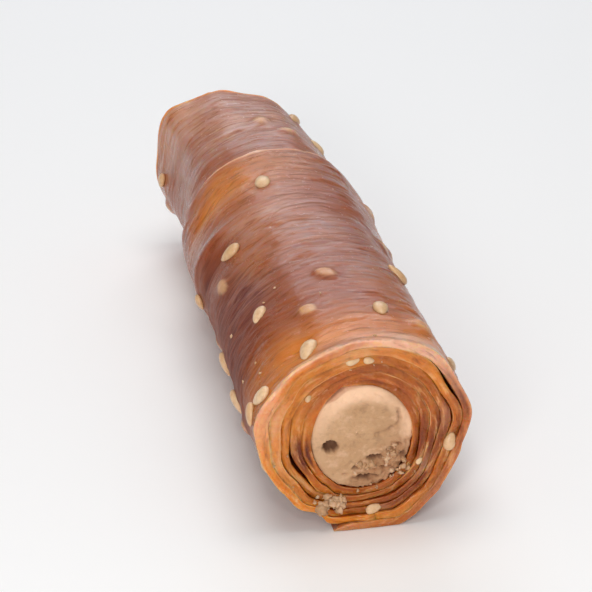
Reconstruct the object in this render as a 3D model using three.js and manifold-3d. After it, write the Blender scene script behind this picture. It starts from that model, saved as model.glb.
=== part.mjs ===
// A roll of Turkish delight: one long sheet of amber fruit jelly wound round a bar of sesame paste.
// The roll lies along Y on its own flat underside, with the cut end that shows the spiral facing -Y.
// Millimetres, +Z up. The origin is on the ground, under the middle of the roll.
// Angles are degrees round the roll's axis, from +X towards +Z.

import * as THREE from 'three';
import { mergeVertices } from 'three/addons/utils/BufferGeometryUtils.js';
import Module from 'manifold-3d';

const rollLength = 86;
const axisHeight = 11.4; // from the flat underside to the axis
const sectionRadius = 11.85; // of the roll's outline between its corners
const sectionShift = -0.4; // sideways, which centres the uneven outline over the origin
const axisBend = { depth: 1.2, from: 24, to: 44 }; // Y between which the axis swings off to the left

// Soft corners of the outline at the shown end, with their rise over the section's radius, then two hollows
const outlineCorners = [
  { at: 46, rise: 1.5, spread: 24 },
  { at: 11, rise: 1.2, spread: 13 },
  { at: 88, rise: 0.35, spread: 22 },
  { at: 165, rise: 0.75, spread: 24 },
  { at: 263, rise: 0.6, spread: 12 },
  { at: 244, rise: -1.15, spread: 8 },
  { at: 214, rise: -0.55, spread: 20 },
];
const cornerFade = 0.42; // share of a corner's rise that is lost by the far end
const cornerTwist = 12; // degrees that the corners turn from end to end
const bodyWave = { rise: 0.14, length: 47 }; // slow swelling along the roll
// A hollow and a shoulder near the far end, which lie across the roll
const farUnevenness = [
  { at: 172, y: 30, rise: -1.2, spread: 26, run: 16 },
  { at: 135, y: 44, rise: 1.3, spread: 22, run: 15 },
];
const restSpread = { rise: 0.8, at: 277, spread: 26 }; // of the underside, under the roll's own weight

const turns = 5.6; // of the sheet round the paste
const looseEdge = 256; // where the sheet's outer edge ends, beside the underside
const sheetFill = 0.86; // share of the pitch between two turns that the sheet's thickness fills
const stepAt = 16; // Y where the outermost turn stops, short of the far end
const stepRun = 0.07; // of a turn, over which the sheet narrows to that outermost turn

// Places where two turns have come apart: the turn within, the angle, and the width as a share of the band
const partings = [
  { turn: 1.73, at: 207, spread: 19, width: 0.105, fromAbove: 1 },
  { turn: 4.62, at: 27, spread: 13, width: 0.085, fromAbove: 0 },
];

const endRecess = { depth: 1.7, power: 1.3 }; // of the innermost turn behind the outermost, at both ends
// Unevenness of the sheet's cut edges along Y: two waves, counted in radians for each turn
const edgeWaves = [
  { rise: 0.2, rate: 7.1 },
  { rise: 0.12, rate: 17.3 },
];
const edgePhase = { front: 0.8, back: 2.1, step: 4 };
const farSlant = { depth: 6, at: -5, level: 0.85 }; // of the far cut, which leaves the roll shorter on that side

const coreHalfWidth = 5.1;
const coreHalfHeight = 6.0;
const coreShift = { x: 0.95, z: -0.6 }; // of the paste from the roll's axis
const coreGap = 0.3; // between paste and sheet
const coreRecess = 1.75; // of the paste's cut face behind the outermost turn
const edgePress = { from: 5, to: 32 }; // past the sheet's inner edge, where the paste swells to the next turn
const airHole = { x: -3.4, z: -1.9, radius: 1.05, depth: 1.6 };
const crumbledFoot = { top: -2.6, run: 2.2, slant: 0.25, depth: 0.95 }; // lower part of the face, broken away
const crumbs = { wide: 2.3, high: 2.9, phase: 1.1 }; // radians for each mm across and up the broken part

const sheetSegmentsPerTurn = 30;
const sheetRings = 9;
const coreSegments = 32;
const coreRings = 8;
const faceRings = 6;

const seedLength = 3.1;
const seedWidth = 1.95;
const seedHeight = 1.15;
const seedTaper = 0.22; // towards the pointed end
const seedSink = 0.28; // share of the seed's height that lies below the sheet's surface
const seedSides = { round: 6, high: 4 };
// Seeds on the shown side, with their distance from the shown end
const shownSeeds = [
  { at: 102, from: 48.5 },
  { at: 139, from: 37 },
  { at: 153, from: 32 },
  { at: 136, from: 17.2 },
  { at: 91, from: 19.2 },
  { at: 71, from: 8.5 },
  { at: 52, from: 6 },
  { at: 109, from: 11.5 },
  { at: 118, from: 3 },
  { at: 155, from: 2.6 },
  { at: 168, from: 3.4 },
  { at: 345, from: 3.2 },
  { at: 82, from: 71.5 },
  { at: 68, from: 67.5 },
];
// Seeds on the sides that the first list leaves bare: more of them lie near the ends
const scattered = { count: 24, draw: 41, nearEnds: 0.4, endShare: 0.09, reach: 0.46 };
const bareRight = { share: 0.55, from: -60, to: 45 };
const bareLeft = { from: 184, to: 212 };
const groundSide = { at: 268, clear: 38 };
const seedSpacing = 1.5 * seedLength;

const amber = { color: 0xb4632a, roughness: 0.34, metalness: 0 };
const pasteTan = { color: 0xcfa06c, roughness: 0.85, metalness: 0 };

const { clamp, degToRad, euclideanModulo, lerp, smoothstep } = THREE.MathUtils;

function bearing(degrees) {
  return euclideanModulo(degrees + 180, 360) - 180;
}

function bump(apart, spread) {
  return Math.exp(-((apart / spread) ** 2));
}

// The outer radius: a circle with soft corners, which fade and turn along the roll, cut off by the ground
function outerRadius(degrees, y) {
  const along = y / rollLength + 0.5;
  let radius = sectionRadius + bodyWave.rise * Math.sin((2 * Math.PI * y) / bodyWave.length);
  radius += restSpread.rise * bump(bearing(degrees - restSpread.at), restSpread.spread);
  for (const { at, rise, spread } of outlineCorners) {
    const apart = bearing(degrees - at - cornerTwist * along);
    radius += rise * (1 - cornerFade * along) * bump(apart, spread);
  }
  for (const uneven of farUnevenness) {
    radius += uneven.rise * bump(bearing(degrees - uneven.at), uneven.spread) * bump(y - uneven.y, uneven.run);
  }
  return Math.min(radius, groundRadius(degrees));
}

// The distance from the axis to the ground at an angle
function groundRadius(degrees) {
  const down = -Math.sin(degToRad(degrees));
  return down > 0 ? axisHeight / down : Infinity;
}

// The radius at which the sheet starts round the paste: an oval set off the axis
function innerRadius(degrees) {
  const c = Math.cos(degToRad(degrees));
  const s = Math.sin(degToRad(degrees));
  return 1 / Math.hypot(c / coreHalfWidth, s / coreHalfHeight) + coreShift.x * c + coreShift.z * s;
}

function angleOfTurn(turn) {
  return looseEdge + 360 * (turns - turn);
}

// Share of the way from the inner to the outer radius, opened up where two turns have come apart
function bandShare(turn, face) {
  const degrees = angleOfTurn(turn);
  let share = (turn + face * sheetFill) / (turns + sheetFill);
  for (const { turn: gapTurn, at, spread, width, fromAbove } of partings) {
    const below = turn + Math.round(gapTurn - turn);
    const middle = (below + (1 + sheetFill) / 2) / (turns + sheetFill);
    const open = width * bump(bearing(degrees - at), spread);
    if (turn > below + 0.5) {
      share = 1 - (1 - share) * (1 - (open * fromAbove) / (1 - middle));
    } else {
      share *= 1 - (open * (1 - fromAbove)) / middle;
    }
  }
  return share;
}

// The last turn's outer face lies flat on the ground, and every other face keeps its share of the band
function sheetRadius(turn, face, y) {
  const degrees = angleOfTurn(turn);
  const outer = outerRadius(degrees, y);
  const onGround = face === 1 && turn > turns - 0.5 && outer === groundRadius(degrees);
  return onGround ? outer : lerp(innerRadius(degrees), outer, bandShare(turn, face));
}

function edgeWobble(turn, phase) {
  const waves = edgeWaves.map(({ rise, rate }, i) => rise * Math.sin(rate * turn + (i + 1) * phase));
  return waves.reduce((sum, wave) => sum + wave, 0);
}

// How far the far cut lies short of the roll's full length at a point of the section
function farShortfall(degrees, radius) {
  const across = (radius / sectionRadius) * Math.cos(degToRad(degrees - farSlant.at));
  return (farSlant.depth / 2) * Math.max(0, farSlant.level + across);
}

// How far a turn's cut edge lies behind the end of the roll, where lastTurn is the one that reaches it
function edgeDepth(turn, lastTurn, phase) {
  const recess = endRecess.depth * (1 - Math.min(1, turn / lastTurn)) ** endRecess.power;
  return recess + Math.max(0, edgeWobble(turn, phase));
}

function frontEdge(turn) {
  return edgeDepth(turn, turns, edgePhase.front) - rollLength / 2;
}

function backEdge(turn) {
  const short = farShortfall(angleOfTurn(turn), sheetRadius(turn, 0.5, rollLength / 2));
  const full = rollLength / 2 - short - edgeDepth(turn, turns - 1, edgePhase.back);
  const outermost = smoothstep(turn, turns - 1, turns - 1 + stepRun);
  return lerp(full, stepAt + edgeWobble(turn, edgePhase.step), outermost);
}

function axisX(y) {
  return sectionShift - axisBend.depth * smoothstep(y, axisBend.from, axisBend.to);
}

function polar(degrees, radius, y) {
  const x = axisX(y) + radius * Math.cos(degToRad(degrees));
  return new THREE.Vector3(x, y, axisHeight + radius * Math.sin(degToRad(degrees)));
}

function sheetPoint(turn, ring, face) {
  const y = lerp(frontEdge(turn), backEdge(turn), ring);
  return polar(angleOfTurn(turn), sheetRadius(turn, face, y), y);
}

function indexedGeometry(positions, index) {
  const geometry = new THREE.BufferGeometry();
  geometry.setAttribute('position', new THREE.Float32BufferAttribute(positions, 3));
  geometry.setIndex(index);
  return geometry;
}

// A closed skin from two like grids of points, columns by rows, joined round their four edges
function slabGeometry(columns, rows, pointAt) {
  const positions = [];
  for (const face of [0, 1]) {
    for (let i = 0; i <= columns; i += 1) {
      for (let j = 0; j <= rows; j += 1) {
        positions.push(...pointAt(i / columns, j / rows, face).toArray());
      }
    }
  }
  const at = (face, i, j) => (face * (columns + 1) + i) * (rows + 1) + j;
  const index = [];
  const quad = (a, b, c, d) => index.push(a, b, c, a, c, d);
  for (let i = 0; i < columns; i += 1) {
    for (let j = 0; j < rows; j += 1) {
      quad(at(1, i, j), at(1, i + 1, j), at(1, i + 1, j + 1), at(1, i, j + 1));
      quad(at(0, i, j), at(0, i, j + 1), at(0, i + 1, j + 1), at(0, i + 1, j));
    }
    quad(at(0, i, 0), at(0, i + 1, 0), at(1, i + 1, 0), at(1, i, 0));
    quad(at(1, i, rows), at(1, i + 1, rows), at(0, i + 1, rows), at(0, i, rows));
  }
  for (let j = 0; j < rows; j += 1) {
    quad(at(0, 0, j), at(1, 0, j), at(1, 0, j + 1), at(0, 0, j + 1));
    quad(at(1, columns, j), at(0, columns, j), at(0, columns, j + 1), at(1, columns, j + 1));
  }
  return indexedGeometry(positions, index);
}

function sheetGeometry() {
  const columns = Math.round(turns * sheetSegmentsPerTurn);
  return slabGeometry(columns, sheetRings, (u, v, face) => sheetPoint(u * turns, v, face));
}

// The paste's outline: the sheet's innermost turn less the gap, with the sheet's inner edge pressed into it
function coreRadius(degrees, y) {
  const past = euclideanModulo(degrees - angleOfTurn(0), 360);
  const turn = (1 - past / 360) * smoothstep(past, edgePress.from, edgePress.to);
  const share = turn / (turns + sheetFill);
  return lerp(innerRadius(degrees), outerRadius(degrees, y), share) - coreGap;
}

// Depth of the air hole and of the broken foot in the paste's cut face, x and z counted from its middle
function faceRelief(x, z) {
  const hole = airHole.depth * bump(Math.hypot(x - airHole.x, z - airHole.z), airHole.radius);
  const below = smoothstep(crumbledFoot.top - z + crumbledFoot.slant * x, 0, crumbledFoot.run);
  const lumps = (1 + Math.sin(crumbs.wide * x + crumbs.phase) * Math.sin(crumbs.high * z)) / 2;
  return hole + crumbledFoot.depth * below * lumps;
}

// A point of the paste at a step along its profile: one face's middle, out to its rim, along, and back in
function corePoint(degrees, step) {
  const along = clamp((step - faceRings) / coreRings, 0, 1);
  const out = Math.min(1, step / faceRings, (2 * faceRings + coreRings - step) / faceRings);
  const flat = (along - 0.5) * (rollLength - 2 * coreRecess);
  const radius = out * coreRadius(degrees, flat);
  const point = polar(degrees, radius, flat - along * farShortfall(degrees, radius));
  if (out < 1) {
    const side = along > 0.5 ? -1 : 1;
    const z = point.z - axisHeight - coreShift.z;
    point.y += side * faceRelief(side * (point.x - axisX(point.y) - coreShift.x), z);
  }
  return point;
}

function coreGeometry() {
  const steps = 2 * faceRings + coreRings;
  const positions = [...corePoint(0, 0).toArray(), ...corePoint(0, steps).toArray()];
  for (let k = 1; k < steps; k += 1) {
    for (let i = 0; i < coreSegments; i += 1) {
      positions.push(...corePoint((360 * i) / coreSegments, k).toArray());
    }
  }
  const at = (k, i) => 2 + (k - 1) * coreSegments + (i % coreSegments);
  const index = [];
  for (let i = 0; i < coreSegments; i += 1) {
    index.push(0, at(1, i), at(1, i + 1));
    index.push(1, at(steps - 1, i + 1), at(steps - 1, i));
    for (let k = 1; k < steps - 1; k += 1) {
      index.push(at(k, i), at(k + 1, i), at(k + 1, i + 1));
      index.push(at(k, i), at(k + 1, i + 1), at(k, i + 1));
    }
  }
  return indexedGeometry(positions, index);
}

// A Lehmer generator, so that the scattered seeds fall alike each time
function seededRandom(draw) {
  let state = draw;
  return () => {
    state = (state * 16807) % 2147483647;
    return state / 2147483647;
  };
}

// The roll's visible surface, which is one turn further in beyond the step
function surfacePoint(degrees, y) {
  const outermost = turns - euclideanModulo(degrees - looseEdge, 360) / 360;
  const turn = y < backEdge(outermost) - seedWidth ? outermost : outermost - 1;
  return polar(degrees, sheetRadius(turn, 1, y), y);
}

// A drop-shaped seed lying on the roll, turned about the surface's normal
function seedGeometry(degrees, y, turnBy) {
  const seed = new THREE.SphereGeometry(0.5, seedSides.round, seedSides.high);
  const place = seed.getAttribute('position');
  for (let i = 0; i < place.count; i += 1) {
    const taper = 1 - 2 * seedTaper * place.getX(i);
    place.setY(i, place.getY(i) * taper);
    place.setZ(i, place.getZ(i) * taper);
  }
  seed.scale(seedLength, seedWidth, seedHeight).rotateZ(turnBy);
  const along = new THREE.Vector3(0, 1, 0);
  const round = surfacePoint(degrees + 5, y).sub(surfacePoint(degrees - 5, y));
  const normal = new THREE.Vector3().crossVectors(along, round).normalize();
  const across = new THREE.Vector3().crossVectors(normal, along);
  const lift = normal.clone().multiplyScalar(seedHeight * (0.5 - seedSink));
  const frame = new THREE.Matrix4().makeBasis(along, across, normal);
  return seed.applyMatrix4(frame.setPosition(surfacePoint(degrees, y).add(lift)));
}

function seedPlaces() {
  const random = seededRandom(scattered.draw);
  const turned = (at, y) => ({ at, y, turnBy: Math.PI * random() });
  const places = shownSeeds.map(({ at, from }) => turned(at, from - rollLength / 2));
  while (places.length < shownSeeds.length + scattered.count) {
    const side = random() < bareRight.share ? bareRight : bareLeft;
    const at = lerp(side.from, side.to, random());
    const share = random() < scattered.nearEnds ? scattered.endShare * random() : random();
    const end = random() < 0.5 ? -1 : 1;
    const y = end * scattered.reach * (1 - 2 * share) * rollLength;
    const clear = (other) => {
      const round = sectionRadius * degToRad(bearing(other.at - at));
      return Math.hypot(round, other.y - y) > seedSpacing;
    };
    const offGround = Math.abs(bearing(at - groundSide.at)) > groundSide.clear;
    if (offGround && Math.abs(y - stepAt) > seedLength && places.every(clear)) {
      places.push(turned(at, y));
    }
  }
  return places;
}

const wasm = await Module();
wasm.setup();

function solidOf(geometry) {
  geometry.deleteAttribute('normal');
  geometry.deleteAttribute('uv');
  const merged = mergeVertices(geometry, 1e-4);
  return new wasm.Manifold(new wasm.Mesh({
    numProp: 3,
    vertProperties: new Float32Array(merged.getAttribute('position').array),
    triVerts: new Uint32Array(merged.getIndex().array),
  }));
}

// The sheet with every seed fused to it
function seededSheetGeometry() {
  let sheet = solidOf(sheetGeometry());
  for (const { at, y, turnBy } of seedPlaces()) sheet = sheet.add(solidOf(seedGeometry(at, y, turnBy)));
  const { vertProperties, triVerts } = sheet.getMesh();
  return indexedGeometry(Array.from(vertProperties), Array.from(triVerts));
}

function named(name, geometry, finish) {
  const mesh = new THREE.Mesh(geometry, new THREE.MeshStandardMaterial(finish));
  mesh.name = name;
  return mesh;
}

const roll = new THREE.Group();
roll.add(named('rolled_sheet', seededSheetGeometry(), amber));
roll.add(named('sesame_paste_core', coreGeometry(), pasteTan));

export default roll;
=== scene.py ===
# A roll of Turkish delight: amber fruit jelly wound round a bar of sesame paste, with seeds in and on it.
# The pieces are worked out in millimetres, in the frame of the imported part, and put into meshes in metres.
# Angles are degrees round the roll's axis, from +X towards +Z. A turn is one lap of the jelly sheet.
import math

import bpy
import numpy as np
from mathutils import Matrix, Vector


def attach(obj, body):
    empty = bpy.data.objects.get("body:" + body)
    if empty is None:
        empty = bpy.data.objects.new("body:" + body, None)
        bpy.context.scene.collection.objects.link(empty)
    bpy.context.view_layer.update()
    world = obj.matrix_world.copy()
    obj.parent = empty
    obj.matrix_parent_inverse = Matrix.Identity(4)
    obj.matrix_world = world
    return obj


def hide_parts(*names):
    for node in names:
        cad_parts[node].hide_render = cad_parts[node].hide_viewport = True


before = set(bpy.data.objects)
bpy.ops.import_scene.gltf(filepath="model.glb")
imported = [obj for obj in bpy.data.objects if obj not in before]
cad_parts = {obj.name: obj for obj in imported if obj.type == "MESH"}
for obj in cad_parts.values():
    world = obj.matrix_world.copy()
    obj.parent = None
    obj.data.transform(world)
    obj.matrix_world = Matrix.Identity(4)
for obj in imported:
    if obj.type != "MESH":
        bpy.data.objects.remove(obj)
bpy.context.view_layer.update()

# The roll's main form, with the same values as the part's source
rollForm = {
    "length": 86.0,
    "axisHeight": 11.4,
    "radius": 11.85,
    "shiftX": -0.4,
    "bend": (1.2, 24, 44),  # the axis swings this far to the left, from one y to another
    "corners": [(46, 1.5, 24), (11, 1.2, 13), (88, 0.35, 22), (165, 0.75, 24),
                (263, 0.6, 12), (244, -1.15, 8), (214, -0.55, 20)],  # angle, rise, spread
    "cornerFade": 0.42,
    "cornerTwist": 12.0,
    "wave": (0.14, 47.0),  # rise, length
    "restSpread": (277, 0.8, 26),  # over the flat underside: angle, rise, spread
    "farUneven": [(172, 30, -1.2, 26, 16), (135, 44, 1.3, 22, 15)],  # angle, y, rise, spread, run
    "turns": 5.6,
    "looseEdge": 256.0,
    "fill": 0.996,  # the turns stick together here, and lie further apart in the source
    "stepAt": 16.0,
    "stepRun": 0.07,
    "uneven": (0.085, 5.2, 20),  # thickness of the turns: share of the band, waves across and along
    # Turns that have come apart: turn within, angle, spread, width, share of the gap taken from above
    "partings": [(1.73, 207, 18, 0.055, 1), (4.62, 29, 11, 0.04, 0)],
    "recess": (1.7, 1.3),  # of the inner turns' cut edges: depth, power
    "edgeWaves": [(0.2, 7.1), (0.12, 17.3)],
    "edgePhase": {"front": 0.8, "back": 2.1, "step": 4.0},
    "farSlant": (6.0, -5, 0.85),
    "coreHalf": (5.1, 6.0),
    "coreShift": (0.95, -0.6),
    "coreGap": 0.02,
    "coreRecess": 1.75,
    "edgePress": (5, 32),
}


def bump(apart, spread):
    # A bell: e to the power of minus the square of the distance over the spread
    return np.exp(-(apart / spread) ** 2)


def bearing(degrees):
    # The same angle, from -180 to 180
    return np.mod(degrees + 180, 360) - 180


def easeStep(value, low, high):
    # 0 below low, 1 above high, and a smooth S between them
    share = np.clip((value - low) / (high - low), 0, 1)
    return share * share * (3 - 2 * share)


def mixed(a, b, share):
    # A share of the way from a to b
    return a + (b - a) * share


def gradientNoise(x, y, z, draw):
    # Smooth noise from -1 to 1: each lattice corner gives a random slope, blended by quintic S curves
    grid = [np.floor(v).astype(np.int64) for v in (x, y, z)]
    part = [v - g for v, g in zip((x, y, z), grid)]
    ease = [p * p * p * (p * (p * 6 - 15) + 10) for p in part]
    total = 0.0
    for corner in range(8):
        bits = (corner & 1, corner >> 1 & 1, corner >> 2 & 1)
        cell = [(g + b) & 0xFFFF for g, b in zip(grid, bits)]
        mix = (cell[0] * 73856093) ^ (cell[1] * 19349663) ^ (cell[2] * 83492791) ^ (draw * 2654435761)
        mix = (((mix ^ (mix >> 13)) & 0x7FFFFFFF) * 1274126177) & 0x7FFFFFFF
        angle = (mix & 0x7FFF) * (2 * math.pi / 0x8000)
        high = ((mix >> 15) & 0x7FFF) / 0x4000 - 1
        flat = np.sqrt(np.maximum(0, 1 - high * high))
        slope = (part[0] - bits[0]) * flat * np.cos(angle) + (part[1] - bits[1]) * flat * np.sin(angle)
        slope = slope + (part[2] - bits[2]) * high
        weight = 1.0
        for e, b in zip(ease, bits):
            weight = weight * (e if b else 1 - e)
        total = total + weight * slope
    return total * 1.6


def noiseAt(place, lengths, draw):
    # Noise over places in space, its waves as long as given on each axis
    return gradientNoise(*(place[..., i] / run for i, run in enumerate(lengths)), draw)


def axisX(y):
    # The axis swings to the left over the far end, as a smooth S
    depth, start, end = rollForm["bend"]
    return rollForm["shiftX"] - depth * easeStep(y, start, end)


def polar(degrees, radius, y):
    # Places in space: the radius times the cosine and the sine of the angle, about the bent axis
    x = axisX(y) + radius * np.cos(np.radians(degrees))
    z = rollForm["axisHeight"] + radius * np.sin(np.radians(degrees))
    return np.stack(np.broadcast_arrays(x, y, z), axis=-1)


def outlineRadius(degrees, y):
    # The outer radius before the ground cuts it: a circle with soft corners that fade and turn along Y
    along = y / rollForm["length"] + 0.5
    rise, length = rollForm["wave"]
    radius = rollForm["radius"] + rise * np.sin(2 * np.pi * y / length)
    at, rise, spread = rollForm["restSpread"]
    radius = radius + rise * bump(bearing(degrees - at), spread)
    for at, rise, spread in rollForm["corners"]:
        apart = bearing(degrees - at - rollForm["cornerTwist"] * along)
        radius = radius + rise * (1 - rollForm["cornerFade"] * along) * bump(apart, spread)
    for at, atY, rise, spread, run in rollForm["farUneven"]:
        radius = radius + rise * bump(bearing(degrees - at), spread) * bump(y - atY, run)
    return radius


def groundRadius(degrees):
    # How far the ground lies from the axis at an angle
    down = -np.sin(np.radians(degrees))
    return np.where(down > 1e-6, rollForm["axisHeight"] / np.maximum(down, 1e-6), 1e6)


def outerRadius(degrees, y):
    # The lesser of the outline and the way to the ground, which makes the flat underside
    return np.minimum(outlineRadius(degrees, y), groundRadius(degrees))


def innerRadius(degrees):
    # Where the sheet starts round the paste: an oval set off the axis
    c, s = np.cos(np.radians(degrees)), np.sin(np.radians(degrees))
    wide, high = rollForm["coreHalf"]
    shiftX, shiftZ = rollForm["coreShift"]
    return 1 / np.hypot(c / wide, s / high) + shiftX * c + shiftZ * s


def angleOfTurn(turn):
    # 360 degrees more for each turn that lies within the loose edge
    return rollForm["looseEdge"] + 360 * (rollForm["turns"] - turn)


def bandShare(turn, face):
    # Share of the way from the inner to the outer radius, opened up where two turns have come apart
    fill = rollForm["fill"]
    whole = rollForm["turns"] + fill
    degrees = angleOfTurn(turn)
    share = (turn + face * fill) / whole
    for gapTurn, at, spread, width, fromAbove in rollForm["partings"]:
        below = turn + np.round(gapTurn - turn)
        middle = (below + (1 + fill) / 2) / whole
        opened = width * bump(bearing(degrees - at), spread)
        above = 1 - (1 - share) * (1 - opened * fromAbove / (1 - middle))
        within = share * (1 - opened * (1 - fromAbove) / middle)
        share = np.where(turn > below + 0.5, above, within)
    return share


def sheetRadius(turn, face, y):
    # The radius of a face of the sheet, 0 for its inner face and 1 for its outer face.
    # Noise pushes the turns about inside the band, so that they are unevenly thick and never cross.
    degrees = angleOfTurn(turn)
    inner, outer = innerRadius(degrees), outerRadius(degrees, y)
    share = bandShare(turn, face)
    push, across, along = rollForm["uneven"]
    noise = noiseAt(polar(degrees, mixed(inner, outer, share), y), (across, along, across), 81)
    share = share + push * 4 * share * (1 - share) * noise
    onGround = (turn > rollForm["turns"] - 0.5) & (outer >= groundRadius(degrees) - 1e-9)
    return np.where(onGround & (np.asarray(face) > 0.999), outer, mixed(inner, outer, share))


def edgeWobble(turn, phase):
    # Unevenness of the cut edges: two sine waves along the turns
    waves = enumerate(rollForm["edgeWaves"])
    return sum(rise * np.sin(rate * turn + (i + 1) * phase) for i, (rise, rate) in waves)


def farShortfall(degrees, radius):
    # The far end is cut on a slant: it falls short by half the depth times the distance towards one side
    depth, at, level = rollForm["farSlant"]
    across = radius / rollForm["radius"] * np.cos(np.radians(degrees - at))
    return depth / 2 * np.maximum(0, level + across)


def edgeDepth(turn, lastTurn, phase):
    # How far a turn's edge lies behind the end of the roll: more for the inner turns
    depth, power = rollForm["recess"]
    recess = depth * (1 - np.minimum(1, turn / lastTurn)) ** power
    return recess + np.maximum(0, edgeWobble(turn, phase))


def frontEdge(turn):
    # Where a turn's edge at the shown end lies along Y
    return edgeDepth(turn, rollForm["turns"], rollForm["edgePhase"]["front"]) - rollForm["length"] / 2


def backEdge(turn):
    # The far end for all turns but the last, whose edge makes the step
    half, last = rollForm["length"] / 2, rollForm["turns"] - 1
    short = farShortfall(angleOfTurn(turn), sheetRadius(turn, 0.5, half))
    full = half - short - edgeDepth(turn, last, rollForm["edgePhase"]["back"])
    outermost = easeStep(turn, last, last + rollForm["stepRun"])
    return mixed(full, rollForm["stepAt"] + edgeWobble(turn, rollForm["edgePhase"]["step"]), outermost)


# Relief of the jelly's surface, outwards, in millimetres
skinRelief = {
    "swell": (0.16, 11.0),  # rise and length of the slow unevenness
    "wrinkle": (0.2, 2.2, 8.0),  # rise, length along the roll, length round it
    "fineWrinkle": (0.19, 1.0, 5.5),
    "wander": 1.98,  # how far the wrinkles stray along the roll
    "patches": (0.55, 0.75, 1.4),  # share of the wrinkles' rise: middle, swing, most
    "valley": (0.75, 1.7, 0.6),  # their profile: power, height, depth
    # Single folds across the roll: y, angle, rise, width along the roll, spread round it
    "folds": [(14.2, 152, 0.5, 1.3, 26), (8.6, 142, -0.6, 1.6, 26), (0.6, 156, 0.85, 1.5, 24),
              (-3.2, 160, -0.75, 1.3, 24), (-9.5, 150, 0.3, 1.6, 20), (-17.5, 98, -0.45, 0.8, 10),
              (-19.0, 93, 0.2, 0.8, 12), (-24.0, 140, -0.4, 1.3, 16), (-29.5, 70, -0.3, 0.45, 8),
              (-30.6, 71, 0.28, 0.5, 8), (-38.5, 124, -0.5, 1.4, 9), (-36.0, 92, 0.22, 1.2, 18),
              (20.4, 128, -0.3, 0.7, 34), (25.8, 110, -0.28, 0.8, 40), (31.5, 140, -0.34, 0.9, 30),
              (5.0, 60, -0.24, 0.6, 16), (-9.0, 66, -0.22, 0.5, 14), (-14.0, 84, 0.22, 0.6, 12),
              (36.5, 95, 0.22, 0.8, 24), (17.4, 48, -0.6, 0.9, 24), (18.6, 150, -0.45, 1.0, 22),
              (3.0, 10, -0.35, 1.0, 20), (-20.0, 5, -0.3, 0.9, 18), (-12.0, -30, 0.4, 1.2, 22)],
    "foldDrift": (0.5, 0.012),  # of a fold along the roll: by noise, and for each degree
    "lip": (0.3, 1.6, 75, 70),  # swelling behind the shown cut edge: rise, run, angle, spread
    "pressed": 1.2,  # the relief dies out this near the ground
    "limits": (-0.9, 0.8),
}


def wrinkles(place, rise, length, around, draw):
    # Creases across the roll: noise that changes fast along Y and slowly across it, folded at zero
    stray = skinRelief["wander"] * noiseAt(place, (7, 9, 7), draw + 1)
    noise = noiseAt(place + stray[..., None] * np.array([0, 1, 0]), (around, length, around), draw)
    middle, swing, most = skinRelief["patches"]
    patch = np.clip(middle + swing * noiseAt(place, (6, 5, 6), draw + 2), 0, most)
    power, height, depth = skinRelief["valley"]
    return rise * patch * (np.abs(noise) ** power * height - depth)


def relief(degrees, y):
    # Slow swelling, two sizes of wrinkles, single folds and the swollen rim, on all but the flat underside
    radius = outlineRadius(degrees, y)
    place = polar(degrees, radius, y)
    rise, length = skinRelief["swell"]
    total = rise * noiseAt(place, (length,) * 3, 11)
    total = total + wrinkles(place, *skinRelief["wrinkle"], 21)
    total = total + wrinkles(place, *skinRelief["fineWrinkle"], 31)
    byNoise, byAngle = skinRelief["foldDrift"]
    stray = byNoise * noiseAt(place, (5, 5, 5), 41)
    for at, angle, height, width, spread in skinRelief["folds"]:
        apart = bearing(degrees - angle)
        total = total + height * bump(y - at - stray - byAngle * apart, width) * bump(apart, spread)
    rise, run, at, spread = skinRelief["lip"]
    total = total + rise * np.exp(-(y + rollForm["length"] / 2) / run) * bump(bearing(degrees - at), spread)
    pressed = easeStep(groundRadius(degrees) - radius, 0.0, skinRelief["pressed"])
    return np.clip(total * pressed, *skinRelief["limits"])


# Seeds, placed as in the part's source
seedForm = {
    "size": (3.1, 1.95, 1.15),
    "taper": 0.22,
    # Seeds that show: angle, distance from the shown end
    "shown": [(102, 48.5), (139, 37), (153, 32), (136, 17.2), (91, 19.2), (71, 8.5), (52, 6), (109, 11.5),
              (118, 3), (155, 2.6), (168, 3.4), (345, 3.2), (82, 71.5), (68, 67.5)],
    "covered": [0.1, 0.05, 0.85, 0.2, 0.7, 0.25, 0.8, 0.75, 0.3, 0.1, 0.0, 0.2, 0.85, 0.9],  # by jelly
    "coveredRest": (-0.45, 1.15, 0.95),  # drawn between the first two, and held from 0 to the third
    "count": 24,
    "draw": 41,
    "spacing": 1.5,  # least distance in lengths of a seed
    "nearEnds": 0.4,
    "endShare": 0.09,
    "reach": 0.46,
    "right": (0.55, -60, 45),
    "left": (184, 212),
    "ground": (268, 38),
    "bulge": (0.16, 0.55),  # rise of the jelly round a bare seed, and over a covered one
    "bulgeSize": (1.75, 1.15),  # spread along the seed and across it
}


def lehmer(state):
    # Random numbers from 0 to 1, by the same rule as in the part's source
    while True:
        state = state * 16807 % 2147483647
        yield state / 2147483647


def placeSeeds():
    # The list of shown seeds, then seeds drawn at random on the bare sides, none too close to another
    draws = lehmer(seedForm["draw"])
    random = lambda: next(draws)
    length, seedLength = rollForm["length"], seedForm["size"][0]
    places = [(at, back - length / 2, math.pi * random()) for at, back in seedForm["shown"]]
    share, low, high = seedForm["right"]
    ground, groundSpread = seedForm["ground"]
    while len(places) < len(seedForm["shown"]) + seedForm["count"]:
        side = (low, high) if random() < share else seedForm["left"]
        at = mixed(*side, random())
        near = seedForm["endShare"] * random() if random() < seedForm["nearEnds"] else random()
        end = -1 if random() < 0.5 else 1
        y = end * seedForm["reach"] * (1 - 2 * near) * length
        apart = [math.hypot(rollForm["radius"] * math.radians(bearing(a - at)), v - y)
                 for a, v, _ in places]
        offGround = abs(bearing(at - ground)) > groundSpread
        offStep = abs(y - rollForm["stepAt"]) > seedLength
        if offGround and offStep and min(apart) > seedForm["spacing"] * seedLength:
            places.append((at, y, math.pi * random()))
    return places


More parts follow.
